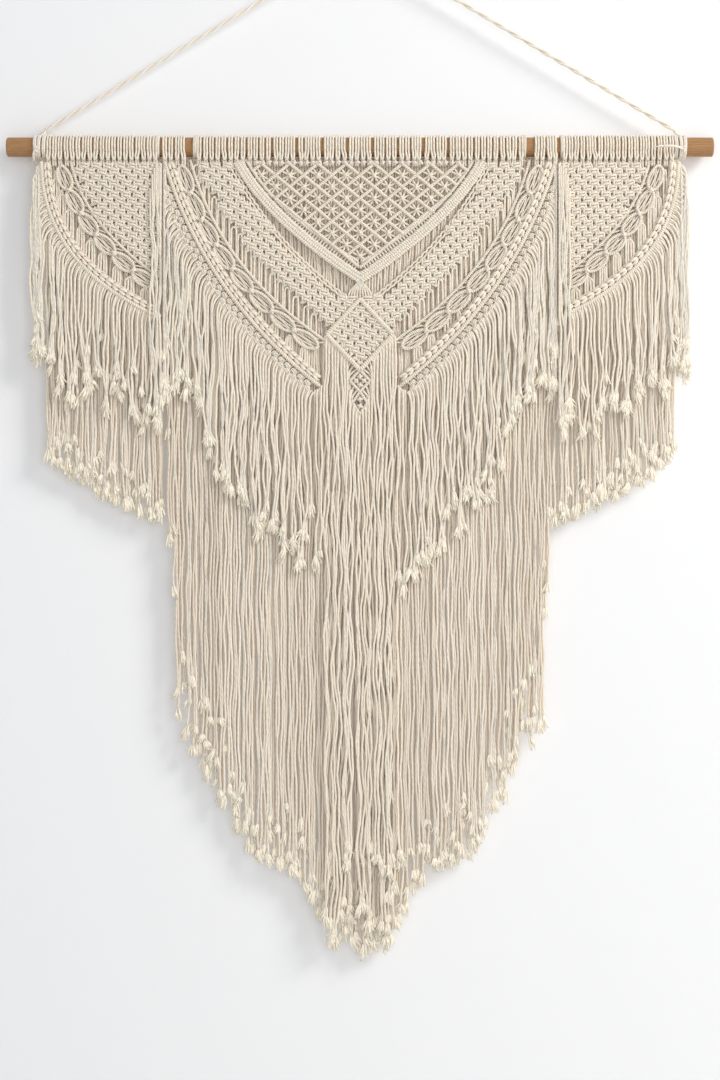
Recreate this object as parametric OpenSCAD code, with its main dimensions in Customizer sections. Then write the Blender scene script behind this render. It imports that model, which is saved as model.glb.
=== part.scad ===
// Macrame wall hanging: knotted cotton cord on a wooden dowel, hung from one nail by a cord.
// The origin is where the nail's top carries the hanging cord. +Z is up, +X is to the right
// as seen from the front, and the front faces -Y. All sizes are in millimetres.
//
// Outlines are drawn on the hanging's face as [x, height below the dowel's axis], for the
// left half, and the right half is their mirror image.

/* [Dowel] */
// Length of the dowel
dowel_len = 920; // [900:10:1100]
// Radius of the dowel
dowel_r = 12.5; // [11.5:0.1:12.5]
// Rounding of the dowel's two end edges
dowel_edge = 1.5; // [0.5:0.1:3]

/* [Cords] */
// Diameter of the string that the panels are knotted from
string_d = 4; // [3.4:0.1:4]
// Diameter of the hanging cord
hanger_d = 6; // [5:0.1:6]
// Gap between the dowel and the loops that turn on it
running_gap = 0.1; // [0.05:0.01:0.1]

/* [Lark's head knots] */
// Spacing of the knots on the two side panels
side_pitch = 7.7; // [7.5:0.1:7.7]
// Knots on each side panel
side_count = 19; // [10:1:19]
// Spacing of the knots within a group on the centre panel
centre_pitch = 7.4; // [7.2:0.1:7.6]
// Knots in each group on the centre panel
group_count = 4; // [2:1:4]
// Spacing of the groups on the centre panel
group_pitch = 32.8; // [32.4:0.1:32.8]

/* [Layers] */
// Thickness of the knotted front panels
front_thick = 9; // [6:0.5:10]
// Thickness of the back curtains
back_thick = 6; // [3:0.5:6.5]

/* [Tail] */
// Half the width of the long centre tail
tail_half = 237; // [220:1:240]
// Height below the dowel at which the tail's sides end
tail_side = 745; // [600:5:800]
// Height below the dowel at which the tail's point ends
tail_tip = 1045; // [1040:5:1100]

/* [Hidden] */
$fn = 64;

cotton = [0.90, 0.86, 0.78];
cotton_back = [0.80, 0.75, 0.65];
oak = [0.72, 0.53, 0.33];

// Height of the dowel's axis under the nail, which the hanging cord's route sets
dowel_drop = 262;

// The hanging cord's route from the left knot over the nail to the right knot, [x, height]
hanger_route = [
    [-410, -240], [-360, -210], [-310, -180], [-260, -150], [-210, -120], [-160, -90],
    [-110, -60], [-60, -30], [-30, -12], [-15, -3], [-8, 1], [0, 3], [8, 1], [15, -3],
    [30, -12], [60, -30], [110, -60], [160, -90], [210, -120], [260, -150], [310, -180],
    [360, -210], [410, -240]
];
hanger_sides = 12;

// Lark's head knots: ring around the dowel, and the bar below it that the panel hangs from
bore_r = dowel_r + running_gap;
head_r = bore_r + 0.85 * string_d;
head_gap = 0.3;
side_first = 266;
group_last = 6;
outer_first = 253;
panel_top = -19;

// Layers, measured along Y: the front panels, and behind them the back curtains
front_back_y = -4;
front_y = front_back_y - front_thick;
back_back_y = 2.3;
curtain_top = -19;
carrier_drop = 18.2;
loop_w = 0.95 * string_d;
side_loops = [260.2, 410.5];
tail_loop = 214;

// The split between the side panels and the centre panel
side_in = 257.6;
centre_out = 256.5;
knot_from = 413;
knot_to = 425;

// Curves of the left half: three control points each, with the band's half width
curve_steps = 12;
border_half = 6.5;
leaf_half = 8;
braid_half = 7;
side_border = [[-410, -19], [-410, -150], [-264, -216]];
side_leaf = [[-388, -19], [-370, -110], [-264, -182]];
inner_border = [[-250, -19], [-200, -190], [-52, -308]];
inner_leaf = [[-232, -19], [-195, -165], [-52, -262]];
net_low = [[-213, -19], [-170, -118], [-49, -227]];
net_high = [[-168, -19], [-115, -125], [-15, -197]];
v_braid = [[-159, -19], [-122, -92], [0, -172]];
braid_tip = [0, -180.5];

// Diamonds on the centre line: top, left and bottom corners
diamond = [[0, -199], [-43, -245], [0, -291]];
upper_small = [[0, -291], [-13, -305], [0, -319]];
lower_small = [[0, -319], [-9.5, -333.5], [0, -348]];
pinch = -0.5;
gather_half = 6;
long_half = 46.5;

// Point, unit direction and inward normal on a curve of three control points
function unit(v) = v / norm(v);
function on_curve(c, t) = (1 - t) * (1 - t) * c[0] + 2 * t * (1 - t) * c[1] + t * t * c[2];
function along(c, t) = unit((1 - t) * (c[1] - c[0]) + t * (c[2] - c[1]));
function inward(c, t) = [-along(c, t)[1], along(c, t)[0]];

// A curve set off inward by a distance, kept below the panels' top and left of the middle
function keep(p) = [min(p[0], 0), min(p[1], panel_top)];
function edge(c, off) = [
    for (i = [0:curve_steps]) keep(on_curve(c, i / curve_steps) + off * inward(c, i / curve_steps))
];
function reversed(points) = [for (i = [len(points) - 1:-1:0]) points[i]];
function mirrored(points) = [for (i = [len(points) - 1:-1:0]) [-points[i][0], points[i][1]]];
function between(a, b) = concat(a, reversed(b));
function at_x(a, b, x) = [x, a[1] + (b[1] - a[1]) * (x - a[0]) / (b[0] - a[0])];

// One flat layer of knotted or hanging cord with the given outline
module layer(outline, back, thick) {
    translate([0, back, -dowel_drop])
        rotate([90, 0, 0])
            linear_extrude(thick)
                polygon(outline);
}
module front_layer(outline) {
    color(cotton) layer(outline, front_back_y, front_thick);
}
module back_layer(outline) {
    color(cotton_back) layer(outline, back_back_y, back_thick);
}

// A cylinder along X about the dowel's axis
module on_axis(r, from, to) {
    translate([from, 0, -dowel_drop]) rotate([0, 90, 0]) cylinder(r = r, h = to - from);
}

module dowel() {
    color(oak)
        translate([0, 0, -dowel_drop])
            rotate([0, 90, 0])
                rotate_extrude()
                    polygon([
                        [0, -dowel_len / 2],
                        [dowel_r - dowel_edge, -dowel_len / 2],
                        [dowel_r, -dowel_len / 2 + dowel_edge],
                        [dowel_r, dowel_len / 2 - dowel_edge],
                        [dowel_r - dowel_edge, dowel_len / 2],
                        [0, dowel_len / 2]
                    ]);
}

// The hanging cord: rings of points across the route, joined into one closed tube
function tangent(i) = unit(hanger_route[min(i + 1, len(hanger_route) - 1)] - hanger_route[max(i - 1, 0)]);
function ring_point(i, a) =
    let (n = [-tangent(i)[1], tangent(i)[0]], r = hanger_d / 2)
    [hanger_route[i][0] + r * cos(a) * n[0], r * sin(a), hanger_route[i][1] + r * cos(a) * n[1]];
module hanging_cord() {
    rings = len(hanger_route);
    points = [
        for (i = [0:rings - 1], k = [0:hanger_sides - 1]) ring_point(i, 360 * k / hanger_sides)
    ];
    walls = [
        for (i = [0:rings - 2], k = [0:hanger_sides - 1])
            let (a = i * hanger_sides, next = (k + 1) % hanger_sides)
            [a + k, a + next, a + hanger_sides + next, a + hanger_sides + k]
    ];
    first_cap = [for (k = [hanger_sides - 1:-1:0]) k];
    last_cap = [for (k = [0:hanger_sides - 1]) (rings - 1) * hanger_sides + k];
    color(cotton) polyhedron(points, concat([first_cap], walls, [last_cap]));
}

// The hanging cord's turns and knot at one end of the dowel, for the left side
module hanger_knot() {
    end = hanger_route[0];
    rise = atan2(hanger_route[1][1] - end[1], hanger_route[1][0] - end[0]);
    stub = 12;
    knot_r = 4;
    color(cotton) {
        difference() {
            union() {
                on_axis(dowel_r + hanger_d, -knot_to, -knot_from);
                translate([end[0], 0, end[1]])
                    rotate([0, 90 - rise, 0])
                        translate([0, 0, -stub])
                            cylinder(d = hanger_d, h = stub);
                translate([-knot_to + knot_r, -14, -dowel_drop - 9]) sphere(knot_r);
            }
            on_axis(dowel_r, -knot_to - 2, -knot_from + 6);
        }
    }
}

// One lark's head knot: the turns round the dowel, and the bar the cords drop from
module larks_head(x, width) {
    difference() {
        union() {
            on_axis(head_r, x - width / 2, x + width / 2);
            translate([x - width / 2, front_y, -dowel_drop + panel_top])
                cube([width, front_thick, 11]);
        }
        on_axis(bore_r, x - width, x + width);
    }
}
module side_larks_heads() {
    color(cotton)
        for (i = [0:side_count - 1]) larks_head(-side_first - i * side_pitch, side_pitch - head_gap);
}
module centre_larks_heads() {
    width = centre_pitch - head_gap;
    color(cotton) {
        for (g = [-group_last:group_last], k = [0:group_count - 1])
            larks_head(g * group_pitch + (k - (group_count - 1) / 2) * centre_pitch, width);
        for (s = [-1, 1], k = [0:group_count - 1])
            larks_head(s * (outer_first - k * side_pitch), side_pitch - head_gap);
    }
}

// A cord under the dowel that a back curtain hangs from, with a loop round the dowel at each end
module carrier(from, to, loops) {
    color(cotton_back)
        difference() {
            union() {
                translate([from, 0, -dowel_drop - carrier_drop])
                    rotate([0, 90, 0])
                        cylinder(d = loop_w, h = to - from);
                for (x = loops) on_axis(bore_r + string_d, x - loop_w / 2, x + loop_w / 2);
            }
            for (x = loops) on_axis(bore_r, x - loop_w, x + loop_w);
        }
}
module side_carrier() {
    carrier(-side_loops[1] - loop_w / 2, -side_loops[0] + loop_w / 2, [-side_loops[0], -side_loops[1]]);
}
module tail_carrier() {
    carrier(-tail_half, tail_half, [-tail_loop, tail_loop]);
}

// The back curtains
module side_back_curtain() {
    back_layer([
        [-410, curtain_top], [-side_in, curtain_top], [-side_in, -480], [-330, -450], [-413, -396]
    ]);
}
module tail_curtain() {
    left = [
        [-tail_half, curtain_top], [-tail_half, -tail_side], [-130, -930], [-55, -1000], [0, -tail_tip]
    ];
    back_layer(concat(left, mirrored(left)));
}

// The side panel, left
module side_knot_net() {
    front_layer(concat(edge(side_leaf, leaf_half), [[-side_in, -174], [-side_in, panel_top]]));
}
module side_leaf_chain() {
    front_layer(between(edge(side_leaf, -leaf_half), edge(side_leaf, leaf_half)));
}
module side_arched_cords() {
    front_layer(between(edge(side_border, border_half), edge(side_leaf, -leaf_half)));
}
module side_border_braid() {
    front_layer(between(edge(side_border, -border_half), edge(side_border, border_half)));
}
module side_fringe() {
    front_layer(concat(edge(side_border, -border_half), [
        [-side_in, -224], [-side_in, -368], [-345, -335], [-432, -297], [-436, -190], [-430, -80],
        [-422, -35]
    ]));
}

// The centre panel, left half
module half_v_braid() {
    front_layer(concat(edge(v_braid, -braid_half), [braid_tip], reversed(edge(v_braid, braid_half))));
}
module half_net_band() {
    end = [diamond[1], at_x(diamond[1], diamond[0], -gather_half)];
    front_layer(concat(edge(net_low, 0), end, reversed(edge(net_high, 0))));
}
module half_leaf_cords() {
    front_layer(between(edge(inner_leaf, leaf_half), edge(net_low, 0)));
}
module half_leaf_chain() {
    front_layer(between(edge(inner_leaf, -leaf_half), edge(inner_leaf, leaf_half)));
}
module half_arched_cords() {
    front_layer(between(edge(inner_border, border_half), edge(inner_leaf, -leaf_half)));
}
module half_border() {
    front_layer(between(edge(inner_border, -border_half), edge(inner_border, border_half)));
}
module half_fringe() {
    front_layer(concat(edge(inner_border, -border_half), [
        [-long_half - 0.5, -316], [-long_half - 0.5, -575], [-113, -510], [-166, -452],
        [-203, -376], [-centre_out, -312], [-centre_out, -60]
    ]));
}

// The middle of the centre panel
module flower_lattice() {
    left = edge(v_braid, braid_half);
    front_layer(concat(left, mirrored([for (i = [0:curve_steps - 1]) left[i]])));
}
module gathered_cords() {
    left = [[-5, -183], net_high[2], at_x(diamond[1], diamond[0], -gather_half)];
    front_layer(concat([braid_tip], left, [diamond[0]], mirrored(left)));
}
module diamond_panel(corners) {
    front_layer([corners[0], corners[1], corners[2], [-corners[1][0], corners[1][1]]]);
}
module half_long_fringe() {
    front_layer([
        [-long_half, -250],
        diamond[1],
        at_x(diamond[1], diamond[2], pinch),
        at_x(upper_small[0], upper_small[1], pinch),
        upper_small[1],
        at_x(upper_small[1], upper_small[2], pinch),
        at_x(lower_small[0], lower_small[1], pinch),
        lower_small[1],
        lower_small[2],
        [0, -tail_tip + 5],
        [-25, -1020],
        [-long_half, -1000]
    ]);
}
module centre_long_fringe() {
    half_long_fringe();
    mirror([1, 0, 0]) half_long_fringe();
}

dowel();
hanging_cord();
hanger_knot();  // left_hanger_knot
mirror([1, 0, 0]) hanger_knot();  // right_hanger_knot
side_larks_heads();  // left_larks_heads
side_knot_net();  // left_knot_net
side_leaf_chain();  // left_leaf_chain
side_arched_cords();  // left_arched_cords
side_border_braid();  // left_border_braid
side_fringe();  // left_fringe
side_carrier();  // left_back_carrier
side_back_curtain();  // left_back_curtain
mirror([1, 0, 0]) side_larks_heads();  // right_larks_heads
mirror([1, 0, 0]) side_knot_net();  // right_knot_net
mirror([1, 0, 0]) side_leaf_chain();  // right_leaf_chain
mirror([1, 0, 0]) side_arched_cords();  // right_arched_cords
mirror([1, 0, 0]) side_border_braid();  // right_border_braid
mirror([1, 0, 0]) side_fringe();  // right_fringe
mirror([1, 0, 0]) side_carrier();  // right_back_carrier
mirror([1, 0, 0]) side_back_curtain();  // right_back_curtain
centre_larks_heads();
flower_lattice();
half_v_braid();  // left_v_braid
mirror([1, 0, 0]) half_v_braid();  // right_v_braid
half_net_band();  // left_net_band
mirror([1, 0, 0]) half_net_band();  // right_net_band
half_leaf_cords();  // left_leaf_cords
mirror([1, 0, 0]) half_leaf_cords();  // right_leaf_cords
half_leaf_chain();  // left_inner_leaf_chain
mirror([1, 0, 0]) half_leaf_chain();  // right_inner_leaf_chain
half_arched_cords();  // left_inner_arched_cords
mirror([1, 0, 0]) half_arched_cords();  // right_inner_arched_cords
half_border();  // left_inner_border
mirror([1, 0, 0]) half_border();  // right_inner_border
half_fringe();  // left_inner_fringe
mirror([1, 0, 0]) half_fringe();  // right_inner_fringe
gathered_cords();
diamond_panel(diamond);  // centre_diamond
diamond_panel(upper_small);  // upper_small_diamond
diamond_panel(lower_small);  // lower_small_diamond
centre_long_fringe();
tail_carrier();
tail_curtain();
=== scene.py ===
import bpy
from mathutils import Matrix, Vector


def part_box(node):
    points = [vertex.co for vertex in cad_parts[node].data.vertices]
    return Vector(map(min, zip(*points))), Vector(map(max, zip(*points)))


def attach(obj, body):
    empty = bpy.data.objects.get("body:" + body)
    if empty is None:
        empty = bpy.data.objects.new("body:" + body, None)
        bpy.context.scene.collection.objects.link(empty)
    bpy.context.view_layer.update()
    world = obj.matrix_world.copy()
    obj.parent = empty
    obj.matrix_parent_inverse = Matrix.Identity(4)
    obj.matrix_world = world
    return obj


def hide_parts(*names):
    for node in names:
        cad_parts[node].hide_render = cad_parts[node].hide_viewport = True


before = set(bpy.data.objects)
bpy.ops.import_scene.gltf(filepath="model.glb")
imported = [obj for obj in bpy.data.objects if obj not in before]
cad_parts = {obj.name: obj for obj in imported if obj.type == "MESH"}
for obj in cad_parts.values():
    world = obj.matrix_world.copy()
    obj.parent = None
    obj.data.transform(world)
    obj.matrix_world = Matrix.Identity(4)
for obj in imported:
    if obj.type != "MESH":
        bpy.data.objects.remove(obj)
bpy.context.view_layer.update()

import zlib

import bpy
import numpy as np
from mathutils import Vector

MM = 0.001
BOTTOM, CREST = (corner.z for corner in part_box("dowel"))
AXIS = (BOTTOM + CREST) / 2  # height of the dowel's axis
DOWEL_R = (CREST - BOTTOM) / 2 / MM

# Layout in millimetres, as in the part: x, and height from the dowel's axis, for the left half
TOP = -19
SIDE_IN, CENTRE_OUT, TAIL_HALF = 257.6, 256.5, 237
ROOM = 1.25  # kept free inside a panel's edge
LONG_HALF = 46.5
DIAMOND = [[0, -199], [-43, -245], [0, -291]]
UPPER_SMALL = [[0, -291], [-13, -305], [0, -319]]
LOWER_SMALL = [[0, -319], [-9.5, -333.5], [0, -348]]
NET_PITCH, NET_ROW = 15.6, 7.5
CELL_W, CELL_H, LATTICE_TIP = 36.6, 30.0, -158
STRING_R = 1.52
LOOSE = 2.0  # the tone that marks untwisted fibres; a cord's own tone lies between 0 and 1
FRONT_Y = -8.2  # depth of the knotted face
CARRIER_Y, CARRIER_Z = 0.7, -18.2  # where the cord that a curtain hangs from runs


def rng_for(name):
    return np.random.default_rng(zlib.crc32(name.encode()))


def add_object(name, data):
    obj = bpy.data.objects.new(name, data)
    bpy.context.scene.collection.objects.link(obj)
    return obj


# ---- camera

def add_camera():
    """Straight-on view from far away; the picture is 720 by 1080, so the sensor's 36 mm is its height."""
    away, face, view_height, middle = 3.0, 0.008, 1.404, -0.774
    data = bpy.data.cameras.new("camera")
    data.sensor_width = 36
    data.lens = 36 * (away - face) / view_height
    data.clip_end = 50
    camera = add_object("camera", data)
    camera.location = (0, -away, middle)
    camera.rotation_euler = (np.pi / 2, 0, 0)
    bpy.context.scene.camera = camera


# ---- curves

def xyz(*parts):
    """Coordinates put side by side along a new last axis."""
    return np.stack(np.broadcast_arrays(*parts), axis=-1)


def unit(vectors):
    return vectors / (np.linalg.norm(vectors, axis=-1, keepdims=True) + 1e-12)


def distance(points):
    """The distance run along each line of points shaped (..., places, axes)."""
    steps = np.linalg.norm(np.diff(points, axis=-2), axis=-1)
    return np.concatenate([np.zeros(steps.shape[:-1] + (1,)), np.cumsum(steps, axis=-1)], axis=-1)


def frames(line):
    """Directions across a line that lies in the panel's face: in the face, and square to it."""
    t = unit(np.gradient(line, axis=0))
    flat = unit(xyz(-t[:, 2], 0, t[:, 0]))
    return flat, np.cross(t, flat)


def spline(points, count):
    """Smooth curves through points shaped (..., places, 3), each sampled at count places."""
    p = np.asarray(points, float)
    before = 2 * p[..., :1, :] - p[..., 1:2, :]
    after = 2 * p[..., -1:, :] - p[..., -2:-1, :]
    p = np.concatenate([before, p, after], axis=-2)
    t = np.linspace(0, p.shape[-2] - 3 - 1e-6, count)
    i = t.astype(int)
    f = (t - i)[:, None]
    a, b, c, d = (p[..., i + k, :] for k in range(4))
    bend, twist = 2 * a - 5 * b + 4 * c - d, 3 * b - a - 3 * c + d
    return 0.5 * (2 * b + (c - a) * f + bend * f ** 2 + twist * f ** 3)


def bezier(a, b, c, t):
    return (1 - t) ** 2 * a + 2 * t * (1 - t) * b + t ** 2 * c


class Band:
    """A curve on the panel's face, read by distance along it and by offset up and to the right."""

    def __init__(self, control):
        t = np.linspace(0, 1, 300)[:, None]
        a, b, c = (np.array(p, float) for p in control)
        self.p = bezier(a, b, c, t)
        self.dir = unit((1 - t) * (b - a) + t * (c - b))
        self.s = distance(self.p)
        self.length = self.s[-1]

    def read(self, table, s):
        return xyz(*(np.interp(s, self.s, table[:, k]) for k in (0, 1)))

    def heading(self, s):
        return self.read(self.dir, s)

    def inward(self, s):
        d = self.heading(s)
        return xyz(-d[..., 1], d[..., 0])

    def point(self, s, off=0.0):
        return self.read(self.p, s) + self.inward(s) * np.asarray(off)[..., None]

    def line(self, off, y, start, end):
        """Points in space along the curve at a set offset, 4 mm apart."""
        s = np.linspace(start, end, max(8, int((end - start) / 4.0)))
        return lift(self.point(s, off), y)


# The left half's edges, in millimetres: start, handle and end
SIDE_BORDER = Band([[-410, -19], [-410, -150], [-264, -216]])
SIDE_LEAF = Band([[-388, -19], [-370, -110], [-264, -182]])
INNER_BORDER = Band([[-250, -19], [-200, -190], [-47, -311]])
INNER_LEAF = Band([[-232, -19], [-195, -165], [-52, -262]])
NET_LOW = Band([[-213, -19], [-170, -118], [-49, -227]])
NET_HIGH = Band([[-168, -19], [-115, -125], [-15, -197]])
V_BRAID = Band([[-159, -19], [-122, -92], [0, -172]])


def lift(flat, y):
    """Points [x, height] with a depth added between the two."""
    flat = np.asarray(flat, float)
    return xyz(flat[..., 0], y, flat[..., 1])


def along(line, spacing):
    """The line's points, evenly spaced."""
    s = distance(line)
    at = np.linspace(0, s[-1], max(2, int(round(s[-1] / spacing)) + 1))
    return xyz(*(np.interp(at, s, line[:, k]) for k in range(3)))


def inside(points, outline):
    """True for each point [x, height] that lies in the closed outline."""
    x, z = points[:, 0:1], points[:, 1:2]
    a, b = outline, np.roll(outline, -1, axis=0)
    crosses = (a[:, 1] > z) != (b[:, 1] > z)
    at = a[:, 0] + (z - a[:, 1]) / (b[:, 1] - a[:, 1] + 1e-12) * (b[:, 0] - a[:, 0])
    return (crosses & (x < at)).sum(axis=1) % 2 == 1


# ---- strands

class Strands:
    """Lengths of cord gathered into one mesh. Each point knows its place round and along its own cord."""

    def __init__(self, name):
        self.name, self.rng = name, rng_for(name)
        self.co, self.yarn, self.tone, self.quads, self.tris, self.count = [], [], [], [], [], 0

    def add(self, paths, radius, sides=8, tone=None):
        """Round cords along one path or several, closed at both ends."""
        paths = np.asarray(paths, float)
        paths = paths[None] if paths.ndim == 2 else paths
        s, n = paths.shape[:2]
        r = np.broadcast_to(radius, (s, n))
        t = unit(np.gradient(paths, axis=1))
        across, other = np.cross(t[:, 0], [0, 1, 0]), np.cross(t[:, 0], [1, 0, 0])
        steep = np.linalg.norm(across, axis=1, keepdims=True) < 0.3
        current = np.where(steep, other, across)
        normal = np.empty_like(paths)
        for i in range(n):
            current = unit(current - (current * t[:, i]).sum(1, keepdims=True) * t[:, i])
            normal[:, i] = current
        side = np.cross(t, normal)
        a = np.arange(sides) * 2 * np.pi / sides
        ring = np.cos(a)[:, None] * normal[:, :, None] + np.sin(a)[:, None] * side[:, :, None]
        rings = paths[:, :, None] + r[:, :, None, None] * ring
        run = distance(paths) + self.rng.uniform(0, 500, (s, 1))
        yarn = xyz(np.cos(a), np.sin(a), run[:, :, None])
        ends = [0, -1]
        caps = paths[:, ends], xyz(0, 0, run[:, ends])
        for kept, sleeve, cap in zip((self.co, self.yarn), (rings, yarn), caps):
            kept.append(np.concatenate([sleeve.reshape(s, -1, 3), cap], axis=1).reshape(-1, 3))
        tone = self.rng.uniform(0, 1, s) if tone is None else np.broadcast_to(tone, s)
        self.tone.append(np.repeat(tone, n * sides + 2))
        self._join(s, n, sides)

    def _join(self, s, n, sides):
        base = self.count + np.arange(s)[:, None] * (n * sides + 2)
        j = np.arange(sides)
        k = (j + 1) % sides
        row = (np.arange(n - 1) * sides)[:, None]
        quad = xyz(row + j, row + k, row + sides + k, row + sides + j).reshape(1, -1, 4)
        self.quads.append((base[:, :, None] + quad).reshape(-1, 4))
        last, centre = (n - 1) * sides, n * sides
        caps = np.concatenate([xyz(centre, k, j), xyz(centre + 1, last + j, last + k)])[None]
        self.tris.append((base[:, :, None] + caps).reshape(-1, 3))
        self.count += s * (n * sides + 2)

    def mesh(self, mirror):
        co, yarn = np.concatenate(self.co), np.concatenate(self.yarn)
        quads, tris = np.concatenate(self.quads), np.concatenate(self.tris)
        if mirror:
            co = co * [-1, 1, 1]
            quads, tris = quads[:, ::-1], tris[:, ::-1]
        mesh = bpy.data.meshes.new(self.name)
        mesh.from_pydata((co * MM + [0, 0, AXIS]).tolist(), [], quads.tolist() + tris.tolist())
        mesh.shade_smooth()
        point = mesh.attributes.new("yarn", "FLOAT_VECTOR", "POINT")
        point.data.foreach_set("vector", (yarn * [1, 1, MM]).astype(np.float32).ravel())
        tone = mesh.attributes.new("tone", "FLOAT", "POINT")
        tone.data.foreach_set("value", np.concatenate(self.tone).astype(np.float32))
        return mesh

    def piece(self, body, material, replaces=(), mirror=False):
        """The finished object, riding on its CAD body in place of the CAD nodes named."""
        obj = add_object(self.name, self.mesh(mirror))
        obj.data.materials.append(material)
        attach(obj, body)
        if replaces:
            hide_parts(*replaces)
        return obj


# ---- materials

class Nodes:
    """A short way to build a material's nodes."""

    def __init__(self, name):
        self.material = bpy.data.materials.new(name)
        self.material.use_nodes = True
        self.tree = self.material.node_tree
        self.shader = self.tree.nodes["Principled BSDF"]

    def node(self, kind, inputs=(), **settings):
        made = self.tree.nodes.new(kind)
        for key, value in settings.items():
            setattr(made, key, value)
        for key, value in dict(inputs).items():
            self.feed(value, made.inputs[key])
        return made

    def feed(self, value, socket):
        """Links another node's output, or sets a plain value."""
        if isinstance(value, bpy.types.NodeSocket):
            self.tree.links.new(value, socket)
        else:
            socket.default_value = value

    def math(self, operation, a, b=0.0):
        return self.node("ShaderNodeMath", {0: a, 1: b}, operation=operation).outputs[0]

    def times(self, a, b):
        return self.math("MULTIPLY", a, b)

    def noise(self, vector, scale, detail=2.0, rough=0.5):
        inputs = {"Vector": vector, "Scale": scale, "Detail": detail, "Roughness": rough}
        return self.node("ShaderNodeTexNoise", inputs).outputs["Fac"]

    def mix(self, factor, a, b):
        return self.node("ShaderNodeMix", {0: factor, 6: a, 7: b}, data_type="RGBA").outputs[2]

    def stretched(self, vector, scale):
        """The vector, for a pattern that is drawn out along x."""
        return self.node("ShaderNodeMapping", {"Vector": vector, "Scale": (scale, 1.0, 1.0)}).outputs[0]

    def ramp(self, value, low, high):
        inputs = {"Value": value, "From Min": low, "From Max": high}
        return self.node("ShaderNodeMapRange", inputs, clamp=True).outputs[0]

    def bump(self, height, distance, strength, normal=None):
        inputs = {"Height": height, "Distance": distance, "Strength": strength}
        if normal is not None:
            inputs["Normal"] = normal
        return self.node("ShaderNodeBump", inputs).outputs[0]

    def combine(self, x, y, z):
        return self.node("ShaderNodeCombineXYZ", {0: x, 1: y, 2: z}).outputs[0]

    def set(self, **values):
        for name, value in values.items():
            self.feed(value, self.shader.inputs[name.replace("_", " ")])


def cotton(name, light, mid, shade, ply=0.009):
    """Soft twisted cotton: three plies that wind along each cord, loose fibres, and a tone for each cord. The
    hollows between the plies are painted with shade, and fibre flecks add spots of the shade colour.
    """
    m = Nodes(name)
    yarn = m.node("ShaderNodeAttribute", attribute_name="yarn")
    tone = m.node("ShaderNodeAttribute", attribute_name="tone").outputs["Fac"]
    parts = m.node("ShaderNodeSeparateXYZ", {0: yarn.outputs["Vector"]})
    cos, sin, run = parts.outputs
    turn = m.times(run, 2 * np.pi / (3 * ply))
    angle = m.math("ADD", m.math("ARCTAN2", sin, cos), turn)
    plies = m.math("COSINE", m.times(angle, 3.0))
    across, up = (m.times(m.math(way, angle), 0.0022) for way in ("COSINE", "SINE"))
    fibres = m.noise(m.combine(across, up, m.times(run, 0.16)), 2600.0, 3.0, 0.6)
    patches = m.noise(m.combine(m.times(tone, 7.0), 0.0, run), 26.0)
    blend = m.math("ADD", m.times(tone, 0.55), m.times(patches, 0.6))
    colour = m.mix(m.ramp(blend, 0.1, 0.95), (*mid, 1), (*light, 1))
    # painted shade: the hollows between the plies are drawn towards the shade colour
    painted_groove_shade = m.times(m.ramp(plies, -0.3, -1.0), 0.18)
    fleck = m.times(m.ramp(fibres, 0.46, 0.28), 0.22)
    loose = m.ramp(tone, 1.1, 1.6)
    whole = m.math("SUBTRACT", 1.0, loose)
    # the painted ply shade together with the fibre flecks, both left off the loose fibres
    groove_shade_and_flecks = m.times(m.math("ADD", painted_groove_shade, fleck), whole)
    colour = m.mix(loose, colour, (1.0, 0.92, 0.77, 1))
    normal = m.bump(fibres, 0.0002, 0.6, m.bump(plies, 0.0002, 0.7))
    m.set(Base_Color=m.mix(groove_shade_and_flecks, colour, (*shade, 1)), Roughness=m.ramp(fibres, -0.6, 1.1), Normal=normal,
          Sheen_Weight=0.2, Sheen_Roughness=0.5, Sheen_Tint=(1.0, 0.95, 0.86, 1.0), Specular_IOR_Level=0.12,
          Subsurface_Weight=m.times(whole, 0.3), Subsurface_Radius=(1.0, 0.8, 0.6), Subsurface_Scale=0.0025)
    return m.material


def oak():
    """Light oiled oak: long grain lines, darker pores, and rings that show on the sawn ends."""
    m = Nodes("oak_dowel")
    place = m.node("ShaderNodeTexCoord").outputs["Object"]
    wave = {"Vector": m.stretched(place, 0.05), "Scale": 150.0, "Distortion": 7.0, "Detail": 3.0,
            "Detail Scale": 0.7}
    rings = m.node("ShaderNodeTexWave", wave, wave_type="BANDS", bands_direction="Z").outputs["Fac"]
    pores = m.noise(m.stretched(place, 0.04), 2200.0, 3.0, 0.7)
    patches = m.noise(m.stretched(place, 0.25), 22.0)
    wood = m.mix(m.ramp(rings, 0.2, 0.9), (0.43, 0.24, 0.10, 1), (0.33, 0.165, 0.062, 1))
    wood = m.mix(m.ramp(patches, 0.35, 0.75), wood, (0.38, 0.205, 0.085, 1))
    wood = m.mix(m.times(m.ramp(pores, 0.52, 0.36), 0.55), wood, (0.19, 0.085, 0.03, 1))
    normal = m.bump(pores, 0.00025, 0.5, m.bump(rings, 0.0003, 0.3))
    m.set(Base_Color=wood, Roughness=m.ramp(pores, -0.7, 1.5), Normal=normal,
          Specular_IOR_Level=0.35, Coat_Weight=0.06, Coat_Roughness=0.4)
    return m.material


def plain(name, colour, one_sided=False):
    """Matt paint for the floor and the wall; a one-sided wall isn't seen from behind."""
    m = Nodes(name)
    m.set(Base_Color=(*colour, 1), Roughness=0.9, Specular_IOR_Level=0.1)
    if one_sided:
        clear = m.node("ShaderNodeBsdfTransparent").outputs[0]
        behind = m.node("ShaderNodeNewGeometry").outputs["Backfacing"]
        both = m.node("ShaderNodeMixShader", {0: behind, 1: m.shader.outputs[0], 2: clear})
        m.tree.links.new(both.outputs[0], m.tree.nodes["Material Output"].inputs[0])
    return m.material


# ---- cord shapes

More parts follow.
